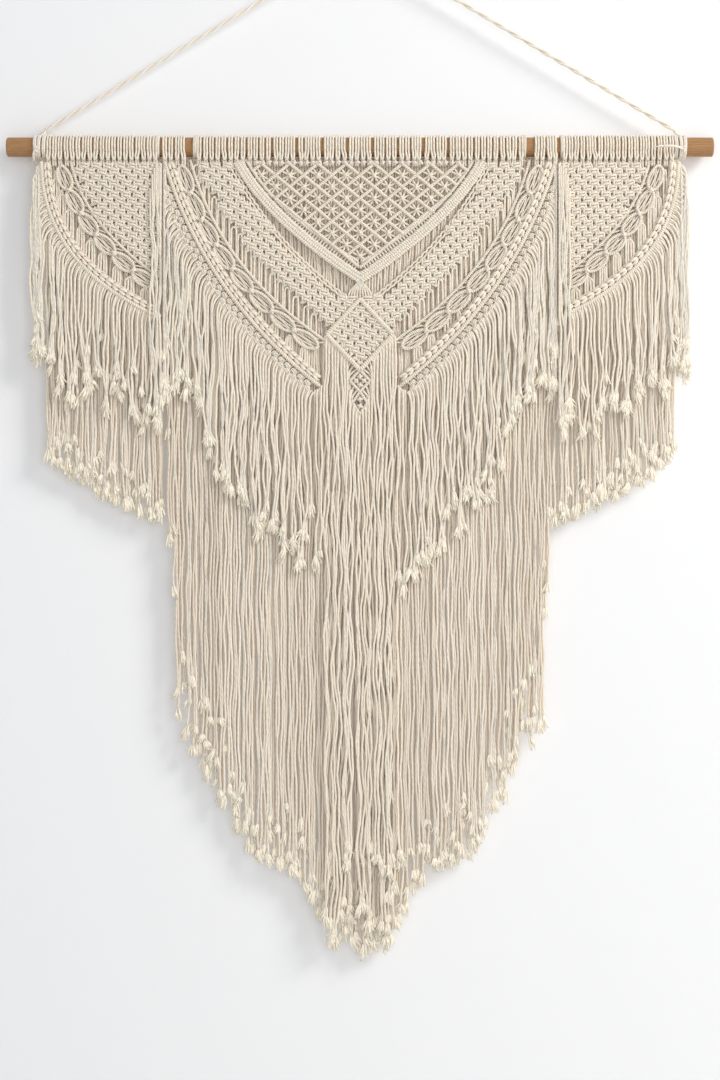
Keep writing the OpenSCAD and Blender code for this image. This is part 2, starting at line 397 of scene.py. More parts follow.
def rope(batch, line, width, pitch, hand=1, rough=0.05, depth=0.85):
    """A row of double half hitches: cord wound closely round a line."""
    tube, per_turn = pitch * 0.53, 10
    core = along(line, pitch / per_turn)
    n = len(core)
    flat, deep = frames(core)
    turns = np.arange(n) / per_turn
    a = 2 * np.pi * turns * hand
    whole = n // per_turn + 2
    lumps = np.interp(turns, np.arange(whole), batch.rng.normal(0, rough, whole))
    swell = 1 + 0.05 * np.sin(np.pi * turns) + lumps
    reach = (width / 2 - tube) * swell
    path = core + (reach * np.cos(a))[:, None] * flat + (reach * np.sin(a) * depth)[:, None] * deep
    batch.add(path, tube, 7, tone=0.75 + 0.2 * batch.rng.uniform())


def square_knots(batch, centres, y, size=1.0, turn=0.0, links=True):
    """Square knots: a working cord crossed twice over two filler cords, which part to the knots below."""
    s = len(centres)
    if not s:
        return
    turn = turn + batch.rng.normal(0, 0.05, s)
    c, d = np.cos(turn)[:, None], np.sin(turn)[:, None]
    at = centres + batch.rng.normal(0, 0.25, (s, 2))

    def place(shape, r, sides, tone, count):
        x, depth, z = (spline(shape, count) * [size, 1, size]).T
        depth = y + depth + batch.rng.normal(0, 0.15, (s, 1))
        moved = xyz(c * x - d * z + at[:, :1], depth, d * x + c * z + at[:, 1:])
        batch.add(moved, r * size ** 0.8, sides, tone=batch.rng.uniform(*tone, s))

    for way in (1, -1):
        flip = np.array([way, 1, way])
        bar = [(-4.8, 1.0, 3.4), (-4.0, -0.8, 3.1), (-1.6, -2.1, 2.2), (1.6, -2.3, 1.5), (4.0, -1.3, 1.2),
               (5.0, 0.4, 1.0)]
        place(bar * flip, 1.62, 7, (0.45, 1.0), 14)
        side = [(4.5, 0.8, 4.6), (4.9, -1.5, 3.1), (5.1, -1.9, 0.4), (4.8, -1.2, -1.7), (4.2, 0.8, -2.8)]
        place(side * flip, 1.42, 7, (0.5, 1.0), 11)
        place([(way * 1.6, 1.0, 5.8), (way * 1.6, -0.4, 4.5), (way * 1.3, 0.2, 0), (way * 1.6, -0.4, -4.5),
               (way * 1.6, 1.0, -5.8)], 1.55, 6, (0.3, 0.9), 8)
        if links:
            for link in ([(2.0, 0.2, -4.2), (3.6, 0.5, -5.6), (6.2, 1.2, -7.2)],
                         [(4.6, 0.4, -3.4), (5.8, 0.7, -4.9), (7.4, 1.2, -6.6)]):
                place(link * np.array([way, 1, 1]), 1.5, 6, (0.2, 0.7), 5)


def buds(batch, centres, y):
    """Small round knots: two short turns of cord that cross over each other."""
    turn = batch.rng.uniform(0, np.pi, len(centres))
    for quarter, lift_by in ((0, 0.0), (np.pi / 2, -0.7)):
        c, d = np.cos(turn + quarter)[:, None], np.sin(turn + quarter)[:, None]
        along_it = np.array([-3.0, -1.9, 0.0, 1.9, 3.0])
        depth = np.array([1.6, -0.6, -1.5, -0.6, 1.6]) + lift_by
        path = xyz(centres[:, :1] + c * along_it, y + depth, centres[:, 1:] + d * along_it)
        batch.add(spline(path, 10), 1.7, 7, tone=0.9)


def knot_grid(outline, first_row, rows, margin, middle=0.0):
    """Places of alternating square knots within an outline, in rows that shift by half a knot."""
    row = np.arange(rows)[:, None]
    x = np.arange(-30, 31) * NET_PITCH + middle + (row % 2) * NET_PITCH / 2
    found = xyz(x, first_row - row * NET_ROW).reshape(-1, 2)
    around = ((-margin, 0), (margin, 0), (0, 2.6), (0, -2.6))
    return found[np.all([inside(found + step, outline) for step in around], axis=0)]


def held(x, low, high):
    """Keeps cords between two edges of a panel, where they crowd together instead of crossing over."""
    within = np.clip(x, low, high)
    return within + (within - x) * 0.15


def bunches(rng, x, width):
    """Sorts cords into bunches by their place, and gives each one's bunch and that bunch's middle."""
    edges = np.min(x) - 1 + np.cumsum(rng.uniform(0.6, 1.5, int(np.ptp(x) / width) * 2 + 4) * width)
    index = np.searchsorted(edges, x)
    return index, edges[index] - width * 0.5


def sway(rng, x0, run, top, amount, pull, middle):
    """How far each hanging cord wanders sideways, given its place, its bunch and the distance along it."""
    s = len(x0)
    ease = np.clip((run - top) / 60, 0, 1) ** 1.3
    shared = np.sin(middle * 12.9898) * 43758.5453
    shared = (shared - np.floor(shared))[:, None]  # from 0 to 1, and the same for all cords of a bunch
    bend = np.sin(run * 2 * np.pi / (150 + 60 * shared) + shared * 6.28)
    own = np.sin(run * 2 * np.pi / rng.uniform(70, 150, (s, 1)) + rng.uniform(0, 6.28, (s, 1)))
    fine = np.sin(run * 2 * np.pi / rng.uniform(30, 50, (s, 1)) + rng.uniform(0, 6.28, (s, 1)))
    end = run[:, -1:]
    gather = (middle - x0)[:, None] * pull * np.clip(run / end, 0, 1) ** 1.8
    drift = rng.normal(0, 1.0, (s, 1)) * np.clip(run / 200, 0, 1.5)
    kick = rng.normal(0, 1.6, (s, 1)) * np.clip(1 - (end - run) / 30, 0, 1) ** 2
    return ease * (amount * (1.5 * bend + 1.6 * own + 0.55 * fine + drift) + gather) + amount * kick


def tip_radius(left):
    """A cord's radius by the length that is left to its cut end, where it has untwisted and opened."""
    return STRING_R * np.interp(left, (0, 3, 8, 13), (0.8, 1.55, 1.35, 1.0))


def fray(batch, ends, directions, fibres=17):
    """The cut ends, where each cord has untwisted into a soft tuft of loose fibres."""
    s = len(ends)
    rng = batch.rng
    a = rng.uniform(0, 2 * np.pi, (s, fibres))
    out = rng.uniform(0.15, 1.0, (s, fibres))
    across = xyz(np.cos(a), 0.5 * np.sin(a), 0) * out[..., None]
    down = directions[:, None]
    reach = rng.uniform(7.5, 15, (s, fibres, 1)) * rng.uniform(0.75, 1.3, (s, 1, 1))
    start = ends[:, None] - down * 7 + across * 0.8
    lean = xyz(rng.normal(0, 2.2, (s, 1)), 0, 0)
    curl = xyz(rng.normal(0, 1.1, (s, fibres)), 0, rng.normal(0, 1.2, (s, fibres)))
    steps = [start, start + down * reach * 0.45 + across * 2.7,
             start + down * reach + across * 4.5 + lean * 0.5,
             start + down * reach * 1.25 + across * 6.0 + lean + curl]
    paths = np.stack(steps, axis=-2).reshape(-1, 4, 3)
    radii = np.interp(np.linspace(0, 3, 6), range(4), (0.8, 1.1, 0.9, 0.35))
    batch.add(spline(paths, 6), radii, 4, tone=LOOSE)


def hanging(rng, start, out, bottom, y, reach, middle, pull=0.5, edges=(-1000, 1000), lead=-1.0):
    """Paths, radii and end directions of cords that leave a rope, arch over and hang down."""
    s = len(start)
    reach = np.broadcast_to(reach, s)[:, None]
    y = np.broadcast_to(y, s)[:, None]
    bottom = np.minimum(np.broadcast_to(bottom, s), start[:, 1] - 30)
    p1 = start + out * reach * 0.95 + [0, 1.5]
    p2 = start + out * reach * 1.15 + reach * [0, -1.15]
    curve = bezier(start[:, None], p1[:, None], p2[:, None], np.linspace(0, 1, 8)[:, None])
    fall_n = max(6, int(np.max(p2[:, 1] - bottom) / 11.0))
    f = np.linspace(0, 1, fall_n + 1)[1:]
    z = p2[:, 1:2] + (bottom[:, None] - p2[:, 1:2]) * f
    flat = np.concatenate([curve, xyz(p2[:, :1], z)], axis=1)
    run = distance(flat)
    flat[..., 0] += sway(rng, p2[:, 0], run, 14, 1.0, pull, middle)
    flat[..., 0] = held(flat[..., 0], *edges)
    ease = np.clip(run / 16, 0, 1)
    deep = FRONT_Y + lead + (y - FRONT_Y - lead) * ease + 0.35 * np.sin(run / 31 + rng.uniform(0, 6, (s, 1)))
    paths = lift(flat, deep)
    return paths, tip_radius(run[:, -1:] - run), unit(paths[:, -1] - paths[:, -3])


def hang(batch, *where, tones=None, **how):
    """Hanging cords, and the tufts at their cut ends."""
    paths, radii, down = hanging(batch.rng, *where, **how)
    batch.add(paths, radii, tone=batch.rng.uniform(*tones, len(paths)) if tones else None)
    fray(batch, paths[:, -1], down)


def straight_down(batch, start, end, y, bow, count, r):
    """Short cords between two places on the face, bowed sideways."""
    t = np.linspace(0, 1, count)[:, None]
    line = start[:, None] * (1 - t) + end[:, None] * t
    bow = np.broadcast_to(bow, len(start))[:, None]
    line[..., 0] += bow * np.sin(np.pi * t[:, 0]) ** 0.8
    batch.add(lift(line, y), r)


# ---- the hanging cord, and what is tied to the dowel

def round_dowel(x, a, clear):
    """Part of a turn round the dowel, by angle from the front, with the cord's middle set off the wood."""
    r = DOWEL_R + clear
    return xyz(x, -r * np.cos(a), r * np.sin(a))


def hanging_cord(material):
    """Two strings twisted together, from the left knot over the nail to the right knot."""
    leg = [[x, 0.6 * x + 6] for x in (*range(-410, -59, 50), -30, -15)]  # straight up to the nail
    left = np.array(leg + [[-8, 1], [0, 3]])
    route = np.concatenate([left, (left * [-1, 1])[-2::-1]])
    core = along(spline(lift(route, 0.0), 500) - [0, 0, AXIS / MM], 2.0)
    flat, deep = frames(core)
    lay = 46  # length in which the strings go round each other once
    a = 2 * np.pi * np.arange(len(core)) * 2.0 / lay
    batch = Strands("hanging_cord_strings")
    for phase in (0, np.pi):
        off = np.cos(a + phase)[:, None] * flat - np.sin(a + phase)[:, None] * deep
        batch.add(core + 1.5 * off, 1.52, 9, tone=0.8)
    obj = batch.piece("root", material, ["hanging_cord"])


def hanger_knot(mirror, material):
    """The cord's two strings turned round the dowel and tied in front; the cut end differs by side."""
    side = "right" if mirror else "left"
    batch = Strands(side + "_hanger_turns")
    for k, (x, way) in enumerate(((-415.9, 1), (-420.2, -1))):
        a = np.linspace(np.pi / 2, np.pi / 2 - way * 4 * np.pi, 50)
        ring = round_dowel(x - np.linspace(0, 3.2, 50), a, 1.65)
        top = np.array([[-410 + k * 1.5, (k - 0.5) * 3, 22], [-411.5 - k * 3, (k - 0.5) * 3, 18]])
        batch.add(spline(np.concatenate([top, ring[1:]]), 90), 1.6, tone=0.8)
    a = np.linspace(0, 2 * np.pi, 40)
    knot = xyz(np.sin(a) + 2 * np.sin(2 * a), -np.sin(3 * a), np.cos(a) - 2 * np.cos(2 * a))
    batch.add(knot * [1.25, 1.0, 1.2] + [-419.5, -16.4, -4.5], 1.35, tone=0.8)
    over_heads = [[-418, -17.5, -5], [-413, -21.8, -3.5], [-403, -25.0, -2.4], [-392, -25.2, -2.8]]
    under_dowel = [[-420, -17, -5], [-423, -16, -9.5], [-424, -10.5, -15.5], [-424.5, -2, -18.5]]
    cut = spline([over_heads if mirror else under_dowel], 14)
    batch.add(cut, 1.5, tone=0.85)
    down = cut[:, -1] - cut[:, -2]
    fray(batch, cut[:, -1] + down, unit(down), 6)
    batch.piece("root", material, [side + "_hanger_knot"], mirror)


def larks_heads(batch, xs, slant):
    """Lark's head knots: two turns round the dowel from a bight that lies across the cords in front."""
    s = len(xs)
    turn = round_dowel(0, np.radians(np.linspace(-70, -392, 20)), 1.65)
    half = np.concatenate([[[0, -6.8, -26], [0, -8.8, -22], [0, -9.4, -17.2]], turn,
                           [[0, -13.5, -12.6], [0, -13.4, -16.4]]])
    half[:, 0] = [-1.5] * 3 + [-1.72] * 20 + [-1.75, -1.2]
    path = np.concatenate([half, [[0, -13.0, -18.0]], (half * [-1, 1, 1])[::-1]])
    paths = np.repeat(path[None], s, axis=0)
    low = np.clip((-4 - paths[..., 2]) / 9, 0, 1) * (paths[..., 1] < -3)
    paths[..., 0] += xs[:, None] + low * (slant + batch.rng.normal(0, 0.35, s))[:, None]
    paths[..., 0] += batch.rng.normal(0, 0.35, (s, 1)) * (paths[..., 2] > -10)
    batch.add(spline(paths, 84), batch.rng.uniform(1.38, 1.52, (s, 1)), tone=batch.rng.uniform(0.45, 1.0, s))


# ---- panels

def leaf_chain(batch, band, cells):
    """Two ropes that cross under small knots, bare cords in the leaves between them, and a third rope."""
    low_side, high_side = 9.0, 8.0
    first, last = 6.0, band.length - 3.0
    pitch = (last - first) / cells
    s = np.linspace(first, last, cells * 24 + 1)
    cell, t = np.divmod((s - first) / pitch, 1)
    upper = high_side * np.sin(np.pi * t ** 1.2) ** 0.5
    lower = -low_side * np.sin(np.pi * t ** 0.86) ** 0.5
    swap = cell % 2 == 0
    for flip in (True, False):
        off = np.where(swap == flip, upper, lower)
        y = np.where(swap == flip, FRONT_Y - 1.4, FRONT_Y - 0.4)
        rope(batch, lift(band.point(s, off - 1.5), y), 4.6, 2.5, hand=1 if flip else -1)
    rope(batch, band.line(high_side + 3.4, FRONT_Y - 0.2, 2, band.length - 1), 4.4, 2.5, hand=-1)
    buds(batch, band.point(first + pitch * np.arange(1, cells), -1.5), FRONT_Y - 2.6)
    for c in range(cells):
        for off in (-6.2, -3.7, -1.2, 1.3, 3.8):
            side = -low_side if off < 0 else high_side
            room = np.arccos(min(1.0, abs(off / side)) ** 2.0) / np.pi
            u = np.linspace(0.5 - room, 0.5 + room, 9) + (0.06 if off > 0 else -0.06)
            lean = 0.7 * np.sin(2 * np.pi * u + off)
            flat = band.point(first + (c + u) * pitch, off - 1.5 + lean)
            y = FRONT_Y + 1.2 - 1.6 * np.sin(np.pi * np.linspace(0, 1, 9))
            batch.add(lift(flat, y), 0.98, 7)
        for k in range(2):
            u = c + 0.62 + 0.3 * k + np.array([0.0, 0.1, 0.22, 0.3])
            off = high_side + np.array([-4, -1.5, 0.5, 2.5])
            batch.add(lift(band.point(first + u * pitch, off), FRONT_Y + 0.8), 1.2, 7)


def tucked(line):
    """Lets the end of the centre panel's border run in behind the long cords near the middle."""
    line[..., 1] += np.clip((line[..., 0] + 60) / 10, 0, 1) * 4.5
    return line


def bead_border(batch, band):
    """A smooth rope along the outside, a chain of knots drawn as twin beads, and a thin rope inside."""
    start, pitch = 2.0, 10.6
    for off, y, width, tight in ((-4.0, FRONT_Y - 1.2, 6.0, 2.9), (7.6, FRONT_Y + 0.9, 2.8, 2.0)):
        rope(batch, tucked(band.line(off, y, start, band.length)), width, tight, rough=0.02)
    middles = np.arange(start + pitch / 2, band.length - pitch / 2, pitch)
    d = np.linspace(-1, 1, 9)
    for side in (-1.0, 1.0):
        off = 2.9 + side * 2.1 - side * (1.9 if side < 0 else 0.9) * d ** 4 + 0.8 * d * side
        y = FRONT_Y - 1.9 - side * 0.3 + 2.6 * d ** 4
        bead = tucked(lift(band.point(middles[:, None] + d * pitch / 2, off), y))
        radius = np.interp(np.abs(d), (0, 0.6, 1), (2.3, 2.1, 1.2))
        batch.add(bead, radius, tone=batch.rng.uniform(0.7, 1.0, len(middles)))


def inner_border(batch):
    """The centre panel's border, with small knots along its outer side and open eyes between them."""
    band = INNER_BORDER
    bead_border(batch, band)
    start, end = 34, band.length - 12
    for row, off in enumerate((-11.0, -16.5)):
        s = np.arange(start + row * 15.5, end, 11.0)
        d = band.heading(s)
        turn = np.arctan2(d[:, 1], d[:, 0])
        square_knots(batch, band.point(s, off), FRONT_Y - 0.4, 0.62, turn, links=False)
    s = np.arange(start, end, 5.5)
    aside = 2.5 - 5 * (np.arange(len(s)) % 2)
    low = np.interp(s, (start, start + 20), (-9, -17))
    straight_down(batch, band.point(s, -6), band.point(s + aside, low), FRONT_Y + 0.6, 0, 6, 1.3)


def hairpins(batch, upper, lower, upper_off, lower_off, pitch, widths, start=8.0):
    """Nested arches: each cord hangs from the upper band's edge and drops to the lower on both sides."""
    edges = (band.point(np.linspace(0, band.length, 200), off)
             for band, off in ((upper, upper_off), (lower, lower_off)))
    top_edge, rim = (edge[np.argsort(edge[:, 0])] for edge in edges)
    rng = batch.rng
    for s in np.arange(start, upper.length - 2, pitch):
        x = upper.point(s, upper_off)[0] + np.clip(rng.normal(0, 1.2), -2, 2)
        spread = rng.uniform(0.85, 1.2)
        for k, width in enumerate(widths):
            right, left = x - k * 2.9, x - k * 2.9 - width * spread
            head = np.interp(right, top_edge[:, 0], top_edge[:, 1]) + 1.0 - 1.6 * k
            feet = np.interp((left - 1.0, right), rim[:, 0], rim[:, 1]) - 1.5
            if left < rim[0, 0] or head - feet[0] < 6:
                continue
            high = head - 0.30 * width
            path = [(right, min(feet[1], high - 3)), (right + 0.3, (feet[1] + high) / 2), (right - 0.1, high),
                    ((left + right) / 2, head), (left + 0.2, high - 1.2),
                    (left - 0.4, (feet[0] + high) / 2), (left - 1.0, feet[0])]
            y = FRONT_Y + np.array([2.0, 1.6, 1.0, 0.2, 1.0, 1.6, 2.0])
            batch.add(spline(lift(path, y), 26), 1.4)


def arches(batch, leaf, border):
    """The nested arches between a leaf chain and the border below it."""
    hairpins(batch, leaf, border, -9.5, 7.5, 23.0, (8.9, 2.9), 19)


def diamond_panel(batch, corners, width, fill):
    """A rope round the diamond, with square knots in the large one and small knots in the others."""
    top, left, bottom = (np.array(c, float) for c in corners)
    right = left * [-1, 1]
    for a, b in ((top, left), (left, bottom), (top, right), (right, bottom)):
        line = lift(np.linspace(a, b, 12), FRONT_Y - (2.2 if fill else 0.8))
        rope(batch, line, width, 2.9 if width > 5 else 2.4, hand=1 if a[0] + b[0] < 0 else -1, rough=0.1)
    if fill:
        for r, height in enumerate(np.arange(top[1] - 12.5, bottom[1] + 6, -NET_ROW)):
            x = np.arange(-4, 5) * NET_PITCH + (r % 2) * NET_PITCH / 2
            room = 43 * (1 - abs(height - left[1]) / (top[1] - left[1])) - 5.4
            x = x[np.abs(x) < room]
            square_knots(batch, xyz(x, height), FRONT_Y + 0.4)
        for side in (-1, 1):
            edge = np.linspace(left, bottom, 9)[1:-1] + [4.0, 3.75]
            buds(batch, edge * [-side, 1], FRONT_Y + 0.9)
    else:
        upper = ((0, 5.6), (-5.2, 0), (5.2, 0), (0, -5.6))
        buds(batch, (top + bottom) / 2 + (upper if width > 4.3 else ((0, 4.4), (0, -4.4))), FRONT_Y - 0.2)
        for side in (-1, 1):
            for k in range(4):
                start = top + [side * (2.5 + 4.2 * k), 1.5 + 4.4 * k]
                low = left[0] * -side + side * (0.6 + 1.9 * k)
                path = [start, start + [side * 2.2, -1.0],
                        [low, left[1] + 7.0 + 2.0 * k], [low, left[1] - 1.0]]
                batch.add(spline(lift(path, FRONT_Y + np.array([1.4, 0.6, 0.8, 2.2])), 12), 1.4, 7)


def ladder(s, widths):
    """Places across the gap between the V band and the lattice, which is widest at the V's point."""
    return V_BRAID.point(s, np.interp(s, V_BRAID.length * np.array((0, 0.45, 1)), widths))


def lattice_outline():
    """The lattice's edge inside the V band."""
    left = ladder(np.linspace(0, V_BRAID.length, 40), (9.0, 9.8, 16.8))
    left = left[left[:, 0] < -1]
    right = (left * [-1, 1])[::-1]
    return np.concatenate([[[-150, TOP]], left[1:], [[0, LATTICE_TIP]], right[:-1], [[150, TOP]]])


def flower_lattice(batch):
    """Ropes that cross, with a flower of cords round a knot in each diamond, under a row of small knots."""
    edge = lattice_outline()
    buds(batch, xyz(np.arange(-134.5, 135, 8.2), TOP - 2.2), FRONT_Y - 1.0)
    tip = -143  # height of the lowest knot
    slope = CELL_H / CELL_W
    for hand in (-1, 1):
        for k in range(-9, 10):
            x = np.linspace(-170, 170, 341)
            base = k * CELL_W + CELL_W / 2
            z = tip + hand * slope * (x - base)
            runs = np.flatnonzero(inside(xyz(x, z), edge))
            if len(runs) < 12:
                continue
            x, z = x[runs[0]:runs[-1] + 1], z[runs[0]:runs[-1] + 1]
            y = FRONT_Y - 1.2 + 0.7 * hand * np.cos(2 * np.pi * (x - base) / CELL_W)
            rope(batch, xyz(x, y, z), 5.0, 2.6, hand=hand)
    cells = np.concatenate([xyz((np.arange(-8, 9) + (row % 2) / 2) * CELL_W, tip + row * CELL_H / 2)
                            for row in range(9)])
    cells = cells[inside(cells, edge) & inside(cells + [0, -7], edge) & (cells[:, 1] < TOP - 4)]
    buds(batch, cells, FRONT_Y - 0.4)
    for angle in (28, 62, 118, 152, 208, 242, 298, 332):
        a = np.radians(angle) + batch.rng.normal(0, 0.04, len(cells))
        d = xyz(np.cos(a), np.sin(a))
        reach = 11.0 if angle % 180 < 60 or angle % 180 > 120 else 9.2
        bow = batch.rng.normal(0, 0.3, len(cells))
        straight_down(batch, cells + d * 2.0, cells + d * reach, FRONT_Y + 0.6, bow, 6, 1.35)
    lattice_rim(batch)


def lattice_rim(batch):
    """The rope that closes the lattice along the V band, and the rungs that tie it to the band."""
    length, widths = V_BRAID.length, (10.4, 11.0, 18.0)
    rim = ladder(np.linspace(4, length - 14, 60), widths)
    s = np.arange(length * 0.42, length - 12, 4.3)
    for mirror in (1, -1):
        flip = np.array([mirror, 1])
        rope(batch, lift(rim * flip, FRONT_Y - 0.6), 4.4, 2.5, hand=mirror)
        straight_down(batch, V_BRAID.point(s, 6) * flip, ladder(s, widths) * flip, FRONT_Y + 0.8, 0, 5, 1.3)


def v_braid(batch):
    """A flat band of rows of hitches, side by side."""
    for k, off in enumerate((-4.2, 0.0, 4.2)):
        flat = V_BRAID.point(np.linspace(0, V_BRAID.length - max(0, off * 0.75), 60), off)
        flat = flat[flat[:, 0] < 0.5]
        line = lift(flat, FRONT_Y - 1.4 - 0.3 * (k % 2))
        rope(batch, line, 6.4, 3.2, hand=1 if k % 2 else -1, rough=0.18, depth=0.45)


def net_band(batch):
    """Alternating square knots between the two curves, down to the diamond, with a looped upper edge."""
    high = NET_HIGH
    a = NET_LOW.point(np.linspace(0, NET_LOW.length, 40), -3)
    b = high.point(np.linspace(0, high.length, 40), -2)
    outline = np.concatenate([a, [[-45, -243], [-5, -204]], b[::-1]])
    square_knots(batch, knot_grid(outline, TOP - 6.0, 30, 3.6), FRONT_Y + 0.4)
    s = np.linspace(2, high.length - 2, 260)
    loops = high.point(s, -1.5 + 1.9 * np.abs(np.sin(np.pi * s / 9.0)))
    batch.add(along(lift(loops, FRONT_Y + 0.2), 1.5), 1.5, 7)
    inner = high.point(s, -4.2 + 0.6 * np.sin(np.pi * s / 4.5))
    batch.add(along(lift(inner, FRONT_Y + 0.2), 2.0), 1.5, 7)


def side_net(batch):
    """The side panel's triangular net of alternating square knots."""
    rim = SIDE_LEAF.point(np.linspace(0, SIDE_LEAF.length, 40), 11)
    outline = np.concatenate([rim, [[-SIDE_IN - 1, -176], [-SIDE_IN - 1, TOP]]])
    square_knots(batch, knot_grid(outline, TOP - 6.0, 22, 3.8, middle=-SIDE_IN - 7.4), FRONT_Y + 0.4)


def gathered_cords(batch):
    """The V band's ends gathered at its point, fanning out to the top of the diamond."""
    for k in np.linspace(-1, 1, 9):
        x = 15.5 * k
        flat = [(2.2 * k, -172), (4.5 * k, -179.5), (x * 0.8, -188), (x, -197), (x * 1.02, -203)]
        y = FRONT_Y + np.array([-1.0, -1.6, -0.6, 0.6, 1.2])
        batch.add(spline(lift(flat, y), 14), 1.3)
    for side in (-1, 1):
        for z in (-196.3, -199.8):
            flat = [(side * 4, z + 0.3), (side * 11, z), (side * 19, z - 0.4)]
            y = FRONT_Y + np.array([0.4, -1.2, 0.4])
            batch.add(spline(lift(flat, y), 10), 1.35, tone=0.9)


def border_fringe(batch, band, base_off, spacing, ends, edges, extra, front=None):
    """The waterfall fringe: each cord leaves the border's outer rope, arches over and hangs to the end line.
    A few more hang straight from the knots above, and those in front lie over the panel's edge."""
    rng = batch.rng
    s = np.arange(7.0, band.length - 3, spacing)
    s = s + rng.normal(0, 0.4, len(s))
    out = -band.inward(s)
    steep = np.clip((np.abs(band.heading(s)[:, 1]) - 0.72) / 0.28, 0, 1)
    place = band.point(s, np.interp(s, (0, 70), (-5.5, base_off)))
    reach = rng.uniform(6.5, 10.0, len(s)) * (1 - 0.45 * np.clip(1 - s / 40, 0, 1))
    reach = reach * (1 + 1.1 * steep * np.clip(s / 60, 0, 1) * rng.uniform(0, 1, len(s)))
    place = np.concatenate([extra, place])
    out = np.concatenate([np.tile([-0.25, -0.95], (len(extra), 1)), out])
    reach = np.concatenate([np.full(len(extra), 4.0), reach])
    x = place[:, 0] + out[:, 0] * reach * 1.15
    bunch, middle = bunches(rng, x, 13)
    shared = rng.uniform(0, 1, bunch.max() + 1) ** 1.3 * 52
    high = rng.uniform(0, 60, len(x)) * (rng.uniform(0, 1, len(x)) < 0.16)
    ends_x, ends_z = zip(*ends)
    end = np.interp(x, ends_x, ends_z) - 9 + shared[bunch] + high + rng.normal(0, 6, len(x))
    y = np.where(np.arange(len(x)) % 2 == 0, -6.1, -9.9) + rng.normal(0, 0.25, len(x))
    hang(batch, place, out, end, y, reach, middle, edges=edges, tones=(0.5, 1.0))
    if front is not None:
        end = np.interp(front[:, 0], ends_x, ends_z) + rng.uniform(-10, 40, len(front))
        out = np.tile([0.1, -1.0], (len(front), 1))
        hang(batch, front, out, end, -13.0, 4.0, front[:, 0], 0.0, edges, lead=-3.5)


def side_fringe(batch):
    """The side panel's fringe; its front cords lie over the gap beside the centre panel."""
    ends = ((-436, -290), (-419, -299), (-345, -335), (-277, -361), (-257, -368))
    extra = [(x, TOP - 8) for x in (-413.5, -416.5, -419.5)] + [(-264, -222), (-261, -221), (-259.5, -219)]
    front = np.array([(-SIDE_IN - 1.4 - 2.7 * k, -23 - z) for k, z in enumerate((0, 3, 1, 6, 14, 32))])
    border_fringe(batch, SIDE_BORDER, -5.5, 2.95, ends, (-434, -SIDE_IN - ROOM), extra, front)


def inner_fringe(batch):
    """One half of the centre panel's fringe, which ends behind the long cords."""
    ends = ((-256, -306), (-233, -329), (-203, -374), (-186, -416), (-166, -451), (-140, -481),
            (-113, -508), (-74, -545), (-50, -575))
    extra = [(-255.2, TOP + 1), (-252.2, TOP + 1), (-58, -317), (-55, -316), (-52, -314), (-49.5, -311)]
    border_fringe(batch, INNER_BORDER, -15.5, 2.75, ends, (-CENTRE_OUT + ROOM, 0), extra)


def long_cords(rng, y, shift):
    """One layer of the cords from under the diamond, which hang in front of the tail nearly to its tip."""
    x = np.arange(-LONG_HALF + 0.6 + shift, LONG_HALF, 3.9)
    x = x + rng.normal(0, 0.3, len(x))
    rim = np.interp(np.abs(x), (0, 9, 12.5, 14, 15.5, 43, 60), (-350, -337, -325, -305, -279, -249, -236))
    bunch, middle = bunches(rng, x, 13)
    shared = rng.uniform(0, 1, bunch.max() + 1) ** 1.5 * 120
    end = -1040 + np.abs(x) * 0.7 + shared[bunch] + rng.normal(0, 9, len(x))
    out = xyz(np.sign(x) * 0.4, -0.9)
    start = xyz(x - np.sign(x) * 1.5, rim + 1)
    return start, out, end, y, 4.0, middle, 0.3


def long_fringe(material):
    """The layer behind is one piece; in front, each cord is a piece of its own, with its tuft as one more."""
    batch = Strands("centre_long_strings")
    hang(batch, *long_cords(batch.rng, -6.0, 0.0))
    batch.piece("centre_front", material, ["centre_long_fringe"])
    rng = rng_for("long_strings")
    front = hanging(rng, *long_cords(rng, -9.7, 2.2))
    for k, (path, radius, way) in enumerate(zip(*front)):
        string = Strands("long_string_%02d" % (k + 1))
        string.add(path, radius)
        obj = string.piece("centre_front", material, ["centre_long_fringe"])
        tuft = Strands("long_string_tuft_%02d" % (k + 1))
        fray(tuft, path[None, -1], way[None])
        end = tuft.piece("centre_front", material)


# ---- back layers

def curtain(batch, xs, front_end, back_end, edges):
    """Cords doubled over the carrier, one end hanging in front of it and one behind."""
    s = len(xs)
    rng = batch.rng
    f = np.linspace(0, 1, int((TOP - min(front_end.min(), back_end.min())) / 12))
    top = -21  # where the two ends start to hang free
    a = np.linspace(0, np.pi, 7)
    loop = xyz(xs[:, None], CARRIER_Y - 2.9 * np.cos(a), CARRIER_Z + 3.1 * np.sin(a))
    halves = []
    middle = bunches(rng, xs, 16)[1]
    for way, end in ((-1, front_end), (1, back_end)):
        z = top + (end[:, None] - top) * f
        run = top - z
        aside = (1 + way) * 1.05 * np.clip(run / 30, 0, 1)
        x = xs[:, None] + aside + sway(rng, xs, run, 5, 0.44 - 0.12 * way, 0.16 - 0.06 * way, middle)
        x = held(x, *edges)
        y = CARRIER_Y + way * 2.9 - (way * 1.3 + 0.9) * np.clip(run / 40, 0, 1)
        y = y + 0.25 * np.sin(run / 29 + rng.uniform(0, 6, (s, 1)))
        y = y - (1 - way) / 2 * rng.uniform(0, 1.2, (s, 1)) * np.clip(run / 60, 0, 1)
        halves.append((xyz(x, y, z), tip_radius(z - end[:, None])))
    (front, front_r), (back, back_r) = halves
    paths = np.concatenate([front[:, ::-1], loop, back], axis=1)
    radii = np.concatenate([front_r[:, ::-1], np.full((s, 7), STRING_R * 0.96), back_r], axis=1)
    batch.add(paths, radii)
    for half in (front, back):
        fray(batch, half[:, -1], unit(half[:, -1] - half[:, -3]))


